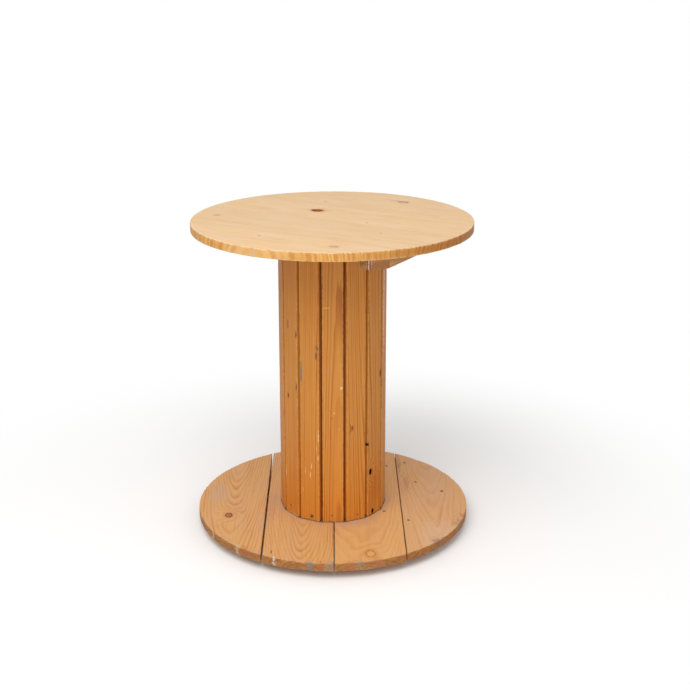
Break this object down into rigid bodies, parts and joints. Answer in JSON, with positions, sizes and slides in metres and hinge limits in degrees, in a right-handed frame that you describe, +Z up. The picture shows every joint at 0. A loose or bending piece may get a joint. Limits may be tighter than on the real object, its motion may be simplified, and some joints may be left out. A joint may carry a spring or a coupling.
{
  "type": "wooden cable drum",
  "caption": "Small wooden cable drum: two round flanges of varnished pine planks on a barrel of straight square-edged staves, standing on its lower flange.",
  "frame": {"origin": "centre of the drum's footprint, on the floor it stands on", "axes": "+Z up along the barrel's axis, -Y the side that the picture shows, with one stave facing it, +X to the right of that view"},
  "size_m": [0.6, 0.6, 0.684],
  "materials": {
    "honey_pine": "clear satin varnish, hardly worn",
    "worn_pine": "worn varnish, dusty and scuffed",
    "orange_pine": "orange varnish, satin, aged",
    "sawn_pine": "sawn, thinly varnished",
    "plain_pine": "sawn, bare"
  },
  "bodies": {
    "root": {"lower_plank_1": "worn_pine", "lower_plank_2": "worn_pine", "lower_plank_3": "worn_pine", "lower_plank_4": "worn_pine", "upper_plank_1": "honey_pine", "upper_plank_2": "honey_pine", "upper_plank_3": "honey_pine", "upper_plank_4": "honey_pine", "lower_batten_front": "sawn_pine", "lower_batten_back": "sawn_pine", "upper_batten_right": "sawn_pine", "upper_batten_left": "sawn_pine", "stave_01": "orange_pine", "stave_02": "orange_pine", "stave_03": "orange_pine", "stave_04": "orange_pine", "stave_05": "orange_pine", "stave_06": "orange_pine", "stave_07": "orange_pine", "stave_08": "orange_pine", "stave_09": "orange_pine", "stave_10": "orange_pine", "stave_11": "orange_pine", "stave_12": "orange_pine", "stave_13": "orange_pine", "stave_14": "orange_pine", "lower_head": "plain_pine", "upper_head": "plain_pine"}
  },
  "joints": []
}
